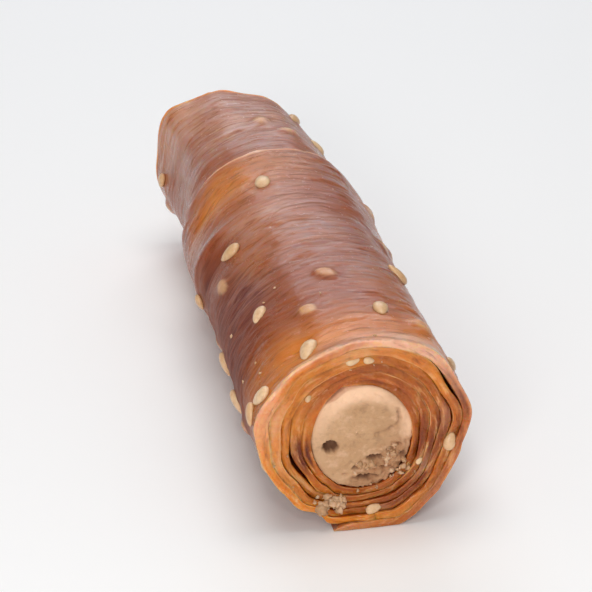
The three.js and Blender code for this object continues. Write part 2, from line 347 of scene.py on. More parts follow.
def coverSeeds(places):
    # How far each seed is covered: as listed for the shown ones, and drawn for the rest
    low, high, most = seedForm["coveredRest"]
    drawn = np.clip(np.random.default_rng(5).uniform(low, high, len(places)), 0, most)
    listed = seedForm["covered"]
    return np.concatenate([listed, drawn[len(listed):]])


seedPlaces = placeSeeds()
seedCovers = coverSeeds(seedPlaces)
print("seeds placed:", len(seedPlaces))


def skinTurn(degrees, y):
    # Which turn shows at a place of the roll: the outermost, or the one within it beyond the step
    outermost = rollForm["turns"] - np.mod(degrees - rollForm["looseEdge"], 360) / 360
    return np.where(y < backEdge(outermost) - seedForm["size"][1], outermost, outermost - 1)


def faceRadius(turn, face, y):
    # The radius of a face with the relief, which moves every turn by its share of the band
    return sheetRadius(turn, face, y) + relief(angleOfTurn(turn), y) * bandShare(turn, face)


def seedBulge(degrees, y, turn):
    # The jelly rises as a long bell over each seed on this turn. The second result is how pale it gets.
    low, high = seedForm["bulge"]
    longRun, crossRun = seedForm["bulgeSize"]
    rise = np.zeros(np.broadcast(degrees, y).shape)
    pale = np.zeros_like(rise)
    for (at, seedY, turnBy), cover in zip(seedPlaces, seedCovers):
        onTurn = abs(turn - skinTurn(at, seedY)) < 0.25
        sideways = rollForm["radius"] * np.radians(bearing(at - degrees))
        c, s = math.cos(turnBy), math.sin(turnBy)
        along = (y - seedY) * c + sideways * s
        aside = sideways * c - (y - seedY) * s
        over = np.exp(-((along / longRun) ** 2 + (aside / crossRun) ** 2) ** 1.5)
        rise = np.maximum(rise, np.where(onTurn, mixed(low, high, easeStep(cover, 0.4, 0.75)) * over, 0))
        pale = np.maximum(pale, np.where(onTurn, easeStep(cover, 0.3, 0.7) * easeStep(over, 0.45, 0.85), 0))
    return rise, pale


def putMesh(name, points, faces):
    # A mesh at the origin, from points in millimetres and rows of four corners, two alike for a triangle
    mesh = bpy.data.meshes.new(name)
    mesh.from_pydata((points * 0.001).tolist(), [], [list(dict.fromkeys(f)) for f in faces.tolist()])
    mesh.validate()
    mesh.update()
    mesh.polygons.foreach_set("use_smooth", np.ones(len(mesh.polygons), bool))
    made = bpy.data.objects.new(name, mesh)
    bpy.context.scene.collection.objects.link(made)
    return made


def putTone(piece, name, rows):
    # A colour attribute from four columns, one row for each point
    tone = piece.data.color_attributes.new(name, "FLOAT_COLOR", "POINT")
    tone.data.foreach_set("color", np.clip(rows, 0, 1).astype(np.float32).ravel())


def gridQuads(rings, around):
    # The faces of a grid of closed rings, one ring after another
    i, j = np.meshgrid(np.arange(rings - 1), np.arange(around), indexing="ij")
    at = lambda ring, step: ring * around + step % around
    return np.stack([at(i, j), at(i, j + 1), at(i + 1, j + 1), at(i + 1, j)], axis=-1).reshape(-1, 4)


def closedGrid(rings, around):
    # The same with a fan at each end, round the two points that follow the grid's own
    k = np.arange(around)
    after, last, low = (k + 1) % around, (rings - 1) * around, np.full(around, rings * around)
    fans = [np.stack([after, k, low, low], -1), np.stack([last + k, last + after, low + 1, low + 1], -1)]
    return np.concatenate([gridQuads(rings, around), *fans])


# The jelly sheet, in two lengths: the outermost turn, and the turns wound within it
jellySheet = {
    "joint": 4.5306,  # the turn at which the two lengths meet
    "edgeRound": (0.04, 0.42),  # run of the rounded edges where turns stick and where they part, mm
    "rimRound": (0.6, 78, 66, 4.58, 4.72),  # of the outermost rim: run, angle, spread, from and to a turn
    "cornerSteps": [0, 22, 40, 56, 72],  # angles of the points on a rounded edge
    "cornerPower": 0.667,
    "edgeRag": (0.34, 0.2),  # of the cut edges along Y: one turn against the next, and along a turn
    "ragLimits": (-0.1, 0.4, 0.4),  # least, share left at the loose edge, turns over which it grows
    "stepRag": (2.6, 4.6, 4.8),  # how many times as ragged the step's edge is, from and to a turn
    "startTaper": (0.1, 0.075),  # the inner edge thins out to this share, over this much of a turn
    "looseTaper": (0.12, 0.03),  # and the loose edge
    # Flare of the rim: out, forwards, angle, spread
    "flare": [(0.65, 0.6, 165, 15), (0.14, 0.3, 122, 24), (-0.1, 0.35, 62, 24)],
    "flareRun": (0.9, 4.6, 4.75),  # it dies out over this run, and starts from and to a turn
    "stepThin": (0.2, 2.0, 4.62, 4.7),  # the turn thins at the step: share, run, from and to a turn
    # Columns for each turn up to a turn, and rows along the sheet: from, to, how many
    "wrap": {"columns": [(5.6, 168)], "rows": [(0.0, 0.04, 18), (0.04, 1.0, 218)]},
    "windings": {"columns": [(3.5, 44), (4.5306, 140)],
                 "rows": [(0.0, 0.1, 26), (0.1, 0.66, 10), (0.66, 1.0, 108)]},
}


def spacedRows(spans):
    # Shares from 0 to 1, each span cut evenly into its own number of steps
    cuts = [np.linspace(a, b, n, endpoint=False) for a, b, n in spans]
    return np.append(np.concatenate(cuts), spans[-1][1])


def spacedTurns(start, spans):
    # Turn numbers from the start to the last span's end, evenly spaced within each span
    turns, last = [], start
    for end, perTurn in spans:
        turns.append(np.linspace(last, end, max(2, round((end - last) * perTurn)), endpoint=False))
        last = end
    return np.append(np.concatenate(turns), last)


def turnPlaces(turns):
    # A place for each turn number, nearer the axis for the inner turns, to read noise at
    return polar(angleOfTurn(turns), 4 + turns, 0 * turns)


def edgeRag(turns, draw):
    # Noise over the turn number, and over the place along the turn, added to a cut edge's depth
    between, along = jellySheet["edgeRag"]
    place = turnPlaces(turns)
    x, z = place[:, 0], place[:, 2]
    rag = between * gradientNoise(turns * 1.7, x / 9, z / 9, draw)
    rag = rag + along * gradientNoise(turns * 3, x / 1.5, z / 1.5, draw + 1)
    least, share, run = jellySheet["ragLimits"]
    return np.maximum(rag, least) * mixed(share, 1, easeStep(rollForm["turns"] - turns, 0, run))


def partedShare(turns):
    # 0 where neighbouring turns stick together at their cut edges, 1 where a groove lies between them
    degrees, place = angleOfTurn(turns), turnPlaces(turns)
    share = 1.1 * gradientNoise(turns * 0.9, place[:, 0] / 4, place[:, 2] / 4, 95) - 0.05
    for gapTurn, at, spread, _, _ in rollForm["partings"]:
        lap = turns - np.round(turns - gapTurn) - gapTurn
        beside = abs(turns - gapTurn - 0.5) < 1.1
        share = share + bump(bearing(degrees - at), spread * 1.2) * bump(lap, 0.6) * beside
    return np.clip(share, 0, 1)


def sheetHalf(turns, rows, side):
    # Half of each column's closed profile: from the middle of the front edge, over one face, to the back.
    # Round an edge the share across the sheet is the sine to a power, the depth 1 less the cosine to it.
    rounding = mixed(*jellySheet["edgeRound"], partedShare(turns))
    run, at, spread, start, end = jellySheet["rimRound"]
    rim = run * bump(bearing(angleOfTurn(turns) - at), spread) * easeStep(turns, start, end)
    rounding = np.maximum(rounding, rim)[:, None]
    corner, power = np.radians(jellySheet["cornerSteps"]), jellySheet["cornerPower"]
    rise, depth = np.sin(corner) ** power, 1 - np.cos(corner) ** power
    across = np.concatenate([rise, np.ones(len(rows)), rise[::-1]])
    times, start, end = jellySheet["stepRag"]
    front = (frontEdge(turns) + edgeRag(turns, 91))[:, None]
    back = (backEdge(turns) - edgeRag(turns, 93) * mixed(1, times, easeStep(turns, start, end)))[:, None]
    y = np.concatenate([front + rounding * depth, mixed(front + rounding, back - rounding, rows),
                        back - rounding * depth[::-1]], axis=1)
    return y, side * across * np.ones_like(y)


def sheetPiece(name, startTurn, layout, looseEnd):
    # One closed profile for each place along the sheet. The radius is the middle of the sheet plus half its
    # thickness times the share across, and the thickness shrinks as a root towards the sheet's own ends.
    turns, rows = spacedTurns(startTurn, layout["columns"]), spacedRows(layout["rows"])
    halves = zip(sheetHalf(turns, rows, 1), sheetHalf(turns, rows, -1))
    y, across = (np.concatenate([over, under[:, -2:0:-1]], axis=1) for over, under in halves)
    turn = turns[:, None] * np.ones_like(y)
    degrees = angleOfTurn(turn)
    outer, inner = faceRadius(turn, 1, y), faceRadius(turn, 0, y)
    middle, half = (outer + inner) / 2, (outer - inner) / 2
    if looseEnd:
        least, run = jellySheet["looseTaper"]
        past = 1 - np.clip((rollForm["turns"] - turn) / run, 0, 1)
        shrink = np.maximum(least, np.sqrt(1 - past ** 2))
        share, run, start, end = jellySheet["stepThin"]
        near = np.clip(1 - (backEdge(turn) - y) / run, 0, 1) * easeStep(turn, start, end)
        middle = middle - half * share * near ** 2
        half = half * (1 - share * near ** 2)
    else:
        least, run = jellySheet["startTaper"]
        shrink = np.maximum(least, np.sqrt(np.clip(turn / run, 0, 1)))
        middle = middle + half * (1 - shrink)
    onGround = sheetRadius(turn, 1, y) >= groundRadius(degrees) - 1e-6
    middle = np.where(onGround & (shrink < 1), outer - half * shrink, middle)
    radius = middle + half * shrink * across
    if looseEnd:
        run, start, end = jellySheet["flareRun"]
        atRim = np.exp(-(y - frontEdge(turn)) / run) * easeStep(turn, start, end)
        for rise, forward, at, spread in jellySheet["flare"]:
            near = atRim * bump(bearing(degrees - at), spread)
            radius = radius + rise * near * (0.6 + 0.4 * across)
            y = y - forward * near
    bulge, pale = seedBulge(degrees, y, turn)
    radius = radius + np.where(across > 0.5, bulge * np.clip(across, 0, 1), 0)
    columns, loop = y.shape
    a = np.arange(loop // 2)
    strip = np.stack([a, (loop - a) % loop, loop - a - 1, a + 1], axis=-1)
    ends = [strip[:, ::-1], strip + (columns - 1) * loop]
    made = putMesh(name, polar(degrees, radius, y).reshape(-1, 3),
                   np.concatenate([gridQuads(columns, loop)[:, ::-1], *ends]))
    smooth = np.ones(len(made.data.polygons), bool)
    smooth[-2 * len(a):] = False
    made.data.polygons.foreach_set("use_smooth", smooth)
    return made, turn, degrees, y, across, pale


# Where the jelly changes colour on the cut ends: angle, spread, turn, spread, share
cutColors = {
    # Golden jelly, and a painted glow of light through the thin turns, strongest on the left
    "goldenAndGlow": [(188, 40, 3.0, 3.0, 0.9), (-60, 50, 4.4, 0.5, 0.35), (85, 44, 3.3, 0.8, 0.45),
               (-20, 40, 4.9, 0.4, 0.4), (38, 11, 4.2, 0.3, 1.5), (96, 40, 4.3, 0.5, 1.1),
               (150, 24, 4.0, 1.4, 0.7), (262, 34, 4.6, 1.0, 0.6), (232, 20, 4.6, 0.8, 0.5)],
    "russetAndShade": [(-14, 44, 2.5, 1.7, 0.58), (74, 34, 2.2, 0.6, 0.2), (198, 20, 1.4, 0.7, 1.8),
               (300, 40, 3.0, 1.6, 0.4), (18, 16, 5.2, 0.25, 0.6), (128, 16, 3.6, 0.5, 0.3),
               (222, 16, 3.2, 0.7, 0.7)],
    # Pale jelly, largely a painted highlight: on the top rim, on the left lobe and in lines along the turns
    "pale": [(66, 32, 5.2, 0.6, 1.15), (164, 18, 4.8, 0.8, 0.55), (95, 16, 4.3, 0.3, 0.6),
             (166, 14, 4.1, 0.4, 0.45), (255, 22, 5.4, 0.4, 0.5), (318, 14, 5.1, 0.4, 0.45),
             (352, 12, 4.9, 0.4, 0.4), (196, 10, 3.6, 0.35, 0.35), (8, 9, 3.1, 0.3, 0.35),
             (330, 9, 2.6, 0.3, 0.35), (288, 12, 3.8, 0.3, 0.35)],
    # a painted highlight along the thin lip of the outer turn
    "lip": [(126, 34, 5.05, 0.5, 1.4), (20, 30, 5.2, 0.4, 0.5)],
    "rim": (64, 34, 1.5, 3.4, 1.0),  # pale jelly and a painted highlight behind the rim: angle, spread, from and to a depth, share
    "left": (175, 60),  # where the painted highlight lines are strongest: angle, spread
    "farGolden": (28, 13, 0.65),  # less golden about the step and beyond: y, spread, share
}
# Where the skin changes colour: angle, spread, y, spread, share
skinColors = {
    # Golden jelly, and a painted glow of light through the sheet, strongest just before the step
    "goldenAndGlow": [(100, 50, -39, 5.0, 0.75), (88, 40, -4, 12, 0.2), (150, 24, -38, 7, 0.5),
               (108, 38, 11.5, 5.5, 0.95), (140, 26, 8.4, 3.0, 0.6), (142, 26, 40, 6, 0.5),
               (118, 22, -4, 8, 0.12), (60, 22, -27, 6, 0.25), (84, 16, -13, 4, 0.2),
               (128, 12, -15, 5, 0.3), (30, 24, -36, 6, 0.4), (20, 20, 8, 8, 0.25)],
    # Dark red jelly, and painted shade on the lower left flank and in the notch at the step's right end
    "russetAndShade": [(98, 34, 12, 4, 0.4), (78, 30, -6, 16, 0.22), (166, 30, -22, 14, 1.2),
               (205, 40, -14, 40, 0.7), (134, 16, -20, 7, 0.5), (156, 20, -3.6, 2.2, 0.8),
               (-25, 34, 0, 60, 0.4), (47, 30, 16.8, 1.2, 1.3), (72, 10, -29.5, 0.6, 0.6)],
    # on the skin, paler jelly and a painted sheen towards the back
    "pale": [(128, 24, 39, 6, 0.45), (112, 26, 27, 5, 0.15), (80, 70, 31, 11, 0.27), (112, 24, 1, 9, 0.26)],
    # Film: starch bloom and a painted sheen, lighter and mauve on the top and the back where light reflects
    "filmAndSheen": [(78, 64, -5, 34, 0.74), (152, 22, 1.4, 2.2, 0.9), (155, 22, 14.8, 2.0, 0.8),
             (125, 50, 30, 12, 0.75), (52, 62, 32, 13, 1.15), (50, 30, -4, 22, 0.34)],
    "clear": [(106, 36, 11.5, 5.5, 0.9)],  # where the film and its painted sheen are missing
    "thinFilmAndSheen": (0.6, -41, -31),  # film and painted sheen thin by this share towards the shown end, between these y
}


def colorShare(spots, degrees, other):
    # The sum of bells round each named place
    return sum(share * bump(bearing(degrees - at), spread) * bump(other - place, run)
               for at, spread, place, run, share in spots)


def jellyTones(turn, degrees, y, across, seedPale):
    # Shares for each point. First: film and painted sheen on top, golden jelly and painted glow,
    # dark red jelly and painted shade, pale jelly and painted highlight at the rim. Second: the cut,
    # painted shade in the grooves between turns, painted highlight lines along the turns, and covered seeds.
    # Each share is the sum of its bells, made uneven by noise over space or through the turns.
    place = polar(degrees, sheetRadius(turn, 0.5, y), y)
    x, z = place[..., 0], place[..., 2]
    slow, lines = noiseAt(place, (6, 8, 6), 51), noiseAt(place, (9, 1.1, 9), 53)
    through = turn + 0.5 * across
    streak = gradientNoise(through * 2.6, x / 6, z / 6, 57)
    fine = gradientNoise(through * 6.5, x / 4, z / 4, 59)
    ahead, behind = y - frontEdge(turn), backEdge(turn) - y
    outermost = easeStep(turn, 4.5, 4.7)
    cut = 1 - easeStep(np.minimum(ahead, behind), 0.15, 0.75 + 0.5 * outermost)
    skin = 1 - cut
    onCut = lambda name: colorShare(cutColors[name], degrees, turn)
    onSkin = lambda name: skin * colorShare(skinColors[name], degrees, y)
    stepEdge = outermost * (1 - easeStep(behind, 0.3, 1.5))

    thin, near, far = skinColors["thinFilmAndSheen"]
    # film and painted sheen on the skin, streaked along the wrinkle crests
    filmAndSheen = onSkin("filmAndSheen") * (0.75 + 0.9 * slow + 0.5 * lines) * (1 - thin * (1 - easeStep(y, near, far)))
    filmAndSheen = filmAndSheen * (1 - colorShare(skinColors["clear"], degrees, y))

    at, spread, share = cutColors["farGolden"]
    goldenAndGlow = cut * (0.3 + 0.35 * streak + onCut("goldenAndGlow")) * (1 - share * bump(y - at, spread))
    # the painted glow is brightest just in front of the step's edge
    goldenAndGlow = goldenAndGlow + onSkin("goldenAndGlow") + 0.36 * skin * slow + 0.3 * stepEdge

    # on the skin this is partly painted shade, on the flank and at the step
    russetAndShade = cut * (onCut("russetAndShade") * (0.8 - 0.7 * streak) - 0.3 * fine)
    russetAndShade = russetAndShade + onSkin("russetAndShade") * (0.9 + 0.4 * slow)

    # pale jelly with a painted highlight at the rim, the lip and along the turns, and painted sheen on the
    # skin
    at, spread, near, far, share = cutColors["rim"]
    rim = share * bump(bearing(degrees - at), spread) * (1 - easeStep(ahead, near, far)) * outermost
    pale = onCut("pale") * (0.85 + 0.4 * fine + 0.3 * slow) + onCut("lip") * easeStep(across, 0.35, 0.9)
    pale = np.maximum(cut * pale, rim * (0.85 + 0.3 * lines)) + onSkin("pale") * (0.8 + 0.5 * lines)

    parted = partedShare(turn[:, 0])[:, None]
    # painted shade in the grooves between parted turns at the cut
    grooveShade = cut * easeStep(abs(across), 0.8, 1.0) * parted
    at, spread = cutColors["left"]
    # painted highlight lines along the turns, and along the edges of turns that stick together
    paintedHighlight = np.clip(1.5 * fine - 0.35, 0, 1) * (0.35 + 0.65 * bump(bearing(degrees - at), spread))
    edgeHighlight = easeStep(abs(across), 0.74, 0.95) * (1 - easeStep(parted, 0.0, 0.3))
    edgeHighlight = 0.85 * edgeHighlight * np.clip(0.35 + 1.6 * streak, 0, 1)
    paintedHighlight = cut * np.maximum(paintedHighlight, edgeHighlight) * (1 - 0.85 * stepEdge)
    seedUnder = seedPale * skin * (across > 0.5)
    tone, mark = (filmAndSheen, goldenAndGlow, russetAndShade, pale), (cut, grooveShade, paintedHighlight, seedUnder)
    return np.stack(tone, axis=-1), np.stack(mark, axis=-1)


# Materials. Noise is given as cycles for each metre on each axis, detail, roughness and distortion.
jellyFinish = {
    "deep": (0.36, 0.078, 0.010),
    # Each colour, with how its share follows a noise: from and to this noise, from and to this share
    # golden jelly and painted glow
    "goldenAndGlow": ((0.78, 0.25, 0.024), (0.3, 0.7, 0.65, 1.2)),
    # dark red jelly, also the colour of the painted shade on the skin
    "russetAndShade": ((0.125, 0.014, 0.002), (0.35, 0.65, 1.1, 0.7)),
    # colour of the film and of the painted sheen
    "filmAndSheen": ((0.37, 0.195, 0.172), (0.3, 0.7, 0.6, 1.15)),
    # pale jelly, and the colour of the painted highlights on the rim and the lip
    "pale": ((0.88, 0.55, 0.39), (0.3, 0.65, 0.55, 1.05)),
    # painted shade in the valleys of the fine lines, where the bump sinks
    "creaseShade": ((0.13, 0.022, 0.005), (0.46, 0.3, 0, 1)),
    # colour of the painted highlight lines and flecks on the cut
    "paintedHighlight": ((0.86, 0.46, 0.20), (0.35, 0.6, 0.35, 1.0)),
    # painted shade in the grooves between turns
    "grooveShade": ((0.20, 0.030, 0.004), (0.35, 0.6, 0.8, 0.2)),
    "seedUnder": ((0.74, 0.44, 0.24), (0.3, 0.65, 0.55, 0.9)),
    "filmAndSheenLines": (0.36, 0.6, 0.2, 1.2),
    # painted highlight flecks on the cut, from the ring noise
    "flecks": (0.54, 0.66, 0, 0.6),
    "creaseShadeShare": (0.55, 0.5),  # of the painted shade: on the skin and on the cut
    "lines": ((270, 1600, 270), 4, 0.6, 0.4),
    "cloud": ((260, 200, 260), 3, 0.6),
    "speck": ((1500, 1500, 1500), 2, 0.5),
    "dimple": ((780, 780, 780), 2, 0.5),
    "ringAxis": (0.0004, 0, -0.0114),  # moves the roll's axis to the middle, m
    "ringRate": (1500.0, 330.0),  # cycles for each metre away from the axis, and on X and Z
    "rings": {"Scale": 1.0, "Detail": 4.0, "Roughness": 0.62, "Distortion": 0.3},
    "relief": (0.7, 0.06, 2.6),  # share of the lines, the specks, and the dimples on the cut
    "bump": {"Strength": 0.85, "Distance": 0.00028},
    "roughness": (0.3, 0.7, 0.12, 0.28),
    "dullRusset": (0.2, 1.0, 0, 0.52),
    "cutRoughness": 0.12,
    "shader": {"Subsurface Weight": 0.85, "Subsurface Radius": (1.0, 0.34, 0.08),
               "Subsurface Scale": 0.0014, "IOR": 1.38, "Coat Weight": 0.08, "Coat Roughness": 0.1},
}


def addNode(tree, kind, inputs=None, **fields):
    # A node with its fields set. An input is linked where its value is another node's socket.
    node = tree.nodes.new(kind)
    for key, value in fields.items():
        setattr(node, key, value)
    for key, value in (inputs or {}).items():
        socket = node.inputs[key]
        if isinstance(value, bpy.types.NodeSocket):
            tree.links.new(value, socket)
        else:
            socket.default_value = (*value, 1) if socket.type == "RGBA" else value
    return node


# The nodes for mixing, sums and ranges. Each function gives its node's result socket.
def mixColor(tree, share, a, b):
    return addNode(tree, "ShaderNodeMix", {0: share, 6: a, 7: b}, data_type="RGBA").outputs[2]


def mixNumber(tree, share, a, b):
    return addNode(tree, "ShaderNodeMix", {0: share, 2: a, 3: b}).outputs[0]


def doMath(tree, operation, a, b=0.0, clamp=False):
    return addNode(tree, "ShaderNodeMath", {0: a, 1: b}, operation=operation, use_clamp=clamp).outputs[0]


def remap(tree, value, low, high, toLow, toHigh):
    return addNode(tree, "ShaderNodeMapRange", {0: value, 1: low, 2: high, 3: toLow, 4: toHigh}).outputs[0]


def stretchedNoise(tree, coords, scale, detail=2.0, roughness=0.5, distortion=0.0):
    # Noise over Object coordinates, scaled on each axis
    mapping = addNode(tree, "ShaderNodeMapping", {"Vector": coords, "Scale": scale})
    settings = {"Vector": mapping.outputs[0], "Scale": 1.0, "Detail": detail, "Roughness": roughness,
                "Distortion": distortion}
    return addNode(tree, "ShaderNodeTexNoise", settings).outputs[0]


def newMaterial(name, settings):
    # A material with one shader, its node tree, and the socket of its Object coordinates
    made = bpy.data.materials.new(name)
    made.use_nodes = True
    tree = made.node_tree
    tree.nodes.clear()
    shader = addNode(tree, "ShaderNodeBsdfPrincipled", settings)
    addNode(tree, "ShaderNodeOutputMaterial", {0: shader.outputs[0]})
    return made, tree, shader, addNode(tree, "ShaderNodeTexCoord").outputs["Object"]


def ringNoise(tree, coords):
    # Noise in fine rings round the roll's axis, for the cut ends: it reads the distance from the axis
    centred = addNode(tree, "ShaderNodeMapping", {"Vector": coords, "Location": jellyFinish["ringAxis"]})
    axes = addNode(tree, "ShaderNodeSeparateXYZ", {0: centred.outputs[0]})
    x, z = axes.outputs[0], axes.outputs[2]
    squares = [doMath(tree, "MULTIPLY", side, side) for side in (x, z)]
    away = doMath(tree, "SQRT", doMath(tree, "ADD", *squares))
    outRate, sideRate = jellyFinish["ringRate"]
    rates = ((away, outRate), (x, sideRate), (z, sideRate))
    scaled = [doMath(tree, "MULTIPLY", value, rate) for value, rate in rates]
    ring = addNode(tree, "ShaderNodeCombineXYZ", dict(enumerate(scaled)))
    noise = {"Vector": ring.outputs[0], **jellyFinish["rings"]}
    return addNode(tree, "ShaderNodeTexNoise", noise).outputs[0]


def splitAttribute(tree, name):
    # The four shares of a colour attribute
    tone = addNode(tree, "ShaderNodeAttribute", attribute_name=name, attribute_type="GEOMETRY")
    parts = addNode(tree, "ShaderNodeSeparateColor", {0: tone.outputs["Color"]})
    return (*parts.outputs[:3], tone.outputs["Alpha"])


def jellyMaterial():
    # Deep amber, with each other colour laid over it by its share, and fine lines along the turns
    made, tree, shader, coords = newMaterial("amberJelly", jellyFinish["shader"])
    filmAndSheen, goldenAndGlow, russetAndShade, pale = splitAttribute(tree, "tone")
    cut, grooveShade, paintedHighlight, seedUnder = splitAttribute(tree, "mark")
    lines, cloud, speck, dimple = (stretchedNoise(tree, coords, *jellyFinish[name])
                                   for name in ("lines", "cloud", "speck", "dimple"))
    rings = ringNoise(tree, coords)
    streak = mixNumber(tree, cut, lines, rings)
    times = lambda a, b, clamp=False: doMath(tree, "MULTIPLY", a, b, clamp)
    uneven = lambda share, noise, span: times(share, remap(tree, noise, *span), True)
    filmAndSheen = uneven(filmAndSheen, lines, jellyFinish["filmAndSheenLines"])
    # painted shade in the valleys of the lines
    creaseShade = mixNumber(tree, cut, *jellyFinish["creaseShadeShare"])
    # painted highlight flecks joined to the painted highlight lines
    paintedHighlight = doMath(tree, "MAXIMUM", paintedHighlight, uneven(cut, rings, jellyFinish["flecks"]))
    base = jellyFinish["deep"]
    for name, share, noise in (("goldenAndGlow", goldenAndGlow, cloud), ("russetAndShade", russetAndShade, streak), ("filmAndSheen", filmAndSheen, cloud),
                               ("pale", pale, cloud), ("creaseShade", creaseShade, streak), ("paintedHighlight", paintedHighlight, cloud),
                               ("grooveShade", grooveShade, cloud), ("seedUnder", seedUnder, cloud)):
        color, span = jellyFinish[name]
        base = mixColor(tree, uneven(share, noise, span), base, color)
    rough = doMath(tree, "ADD", remap(tree, speck, *jellyFinish["roughness"]),
                   remap(tree, russetAndShade, *jellyFinish["dullRusset"]))
    rough = mixNumber(tree, cut, rough, jellyFinish["cutRoughness"])
    lineShare, speckShare, dimpleShare = jellyFinish["relief"]
    height = doMath(tree, "ADD", times(streak, lineShare), times(speck, speckShare))
    height = doMath(tree, "ADD", height, times(cut, times(dimple, dimpleShare)))
    bumps = addNode(tree, "ShaderNodeBump", {**jellyFinish["bump"], "Height": height})
    tree.links.new(base, shader.inputs["Base Color"])
    tree.links.new(rough, shader.inputs["Roughness"])
    tree.links.new(bumps.outputs[0], shader.inputs["Normal"])
    return made


amberJelly = jellyMaterial()
wrap, *wrapGrid = sheetPiece("jellyWrap", jellySheet["joint"], jellySheet["wrap"], True)
windings, *windingsGrid = sheetPiece("jellyWindings", 0.0, jellySheet["windings"], False)
for piece, grid in ((wrap, wrapGrid), (windings, windingsGrid)):
    for name, rows in zip(("tone", "mark"), jellyTones(*grid)):
        putTone(piece, name, rows.reshape(-1, 4))
    piece.data.materials.append(amberJelly)
    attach(piece, "root")
    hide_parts("rolled_sheet")
    print("jelly sheet:", piece.name, len(piece.data.polygons), "faces")


# The bar of sesame paste
pasteCore = {
    "columns": 168,
    "faceRings": 58,
    "bodyRings": 20,
    "rim": (0.5, 0.12),  # the rim of a face falls away: run, depth
    "edgeNoise": (0.06, 14, 2.5, 0.98),  # rise, degrees and mm along Y to a wave, from this share out
    "hole": (-3.85, -1.05, 0.85, 0.7, 1.5),  # x, z, half width, half height, depth
    "crack": [(3.8, 3.1), (4.1, 1.7), (3.6, 1.15), (2.4, 0.45), (1.3, 0.1)],  # points that the crack passes
    "crackSize": (0.13, 0.4),  # half width, depth
    "patch": (2.0, 2.7, 2.7, 0.2),  # raised round patch: x, z, radius, rise
    # Pits and lumps of the foot: x, z, half width, half height, depth
    "pits": [(1.1, -2.8, 0.95, 0.3, 0.75), (-0.9, -3.9, 0.5, 0.28, 0.6), (0.1, -5.2, 1.25, 0.3, 0.8),
             (2.9, -1.9, 0.5, 0.22, 0.45), (3.9, -1.4, 0.35, 0.25, 0.4), (2.5, -4.1, 0.5, 0.25, 0.5),
             (4.4, -2.7, 0.4, 0.3, 0.5), (-2.2, -4.6, 0.3, 0.2, 0.35)],
    "lumps": [(0.7, -3.7, 0.65, 0.4, 0.5), (2.0, -1.6, 0.6, 0.35, 0.35), (1.5, -4.7, 0.5, 0.28, 0.35),
              (3.2, -2.6, 0.55, 0.3, 0.3), (-0.4, -2.6, 0.5, 0.3, 0.15)],
    "foot": {"top": -1.7, "run": 1.6, "slant": 0.75, "depth": 0.55},
    # Grain of the face: rise, waves to a millimetre on X and Z, level, draw
    "grain": [(0.05, 5, 5, 9, 3), (0.1, 1.4, 1.4, 0, 4), (0.06, 2.2, 3.4, 4, 5)],
    "ragged": [(0.55, 1.7, 1.7, 3, 0), (0.3, 4, 4, 3, 7)],
    "lit": [(105, 60, 1.0), (8, 26, 0.7)],  # where the rim gets a painted highlight: angle, spread, share
}


def coreRadius(degrees, y):
    # The sheet's innermost turn less the gap, with the sheet's inner edge pressed into the paste
    past = np.mod(degrees - angleOfTurn(0), 360)
    turn = (1 - past / 360) * easeStep(past, *rollForm["edgePress"])
    share = turn / (rollForm["turns"] + rollForm["fill"])
    return mixed(innerRadius(degrees), outerRadius(degrees, y), share) - rollForm["coreGap"]


def distanceToLine(x, z, points):
    # The least distance from each place to a line through the points
    best = np.full(x.shape, 1e6)
    for (ax, az), (bx, bz) in zip(points, points[1:]):
        dx, dz = bx - ax, bz - az
        share = np.clip(((x - ax) * dx + (z - az) * dz) / (dx * dx + dz * dz), 0, 1)
        best = np.minimum(best, np.hypot(x - ax - share * dx, z - az - share * dz))
    return best


def faceSpots(spots, x, z, ragged):
    # Ragged oval bells of depth
    return sum(deep * (1 - easeStep(np.hypot((x - at) / wide, (z - up) / high) + ragged, 0.5, 1.35))
               for at, up, wide, high, deep in spots)


def faceNoise(layers, x, z, draw):
    # The sum of layers of noise over the face
    return sum(rise * gradientNoise(x * rateX, z * rateZ, 0 * x + level, draw + own)
               for rise, rateX, rateZ, level, own in layers)


def faceRelief(x, z, draw):
    # Depth of the cut face below its plane: hole, crack, raised patch, crumbled foot and fine crumb.
    # The second result is painted shade in the hole, crack, pits and broken foot, less on the lumps, and the
    # third how far it belongs to the foot.
    ragged = faceNoise(pasteCore["ragged"], x, z, draw)
    hole = faceSpots([pasteCore["hole"]], x, z, 0.6 * ragged)
    wide, deep = pasteCore["crackSize"]
    line = distanceToLine(x + 0.3 * ragged, z + 0.3 * ragged, pasteCore["crack"])
    crack = deep * (1 - easeStep(line, wide * 0.3, wide * 3.2)) * (0.8 + 0.8 * ragged)
    patchX, patchZ, radius, rise = pasteCore["patch"]
    apart = np.hypot(x - patchX, z - patchZ) + 0.6 * ragged
    patch = -rise * (1 - easeStep(apart, radius * 0.6, radius * 1.1))
    foot = pasteCore["foot"]
    below = easeStep(foot["top"] - z + foot["slant"] * (x - 2) + 1.1 * ragged, 0, foot["run"])
    pits = faceSpots(pasteCore["pits"], x, z, ragged)
    lumps = faceSpots(pasteCore["lumps"], x, z, 0.8 * ragged)
    coarse = faceNoise([(1, 1.3, 2.0, 5, 1)], x, z, draw)
    small = faceNoise([(1, 3.2, 4.2, 7, 2)], x, z, draw)
    broken = below * foot["depth"] * (0.25 + 0.6 * coarse + 0.45 * small)
    grain = faceNoise(pasteCore["grain"], x, z, draw)
    hollowShade = hole + 1.1 * np.clip(crack, 0, 1) + 1.1 * pits + 0.5 * below * np.clip(small, 0, 1) - lumps
    return hole + crack + patch + pits - lumps + broken + grain * (1 + 2 * below), hollowShade, below


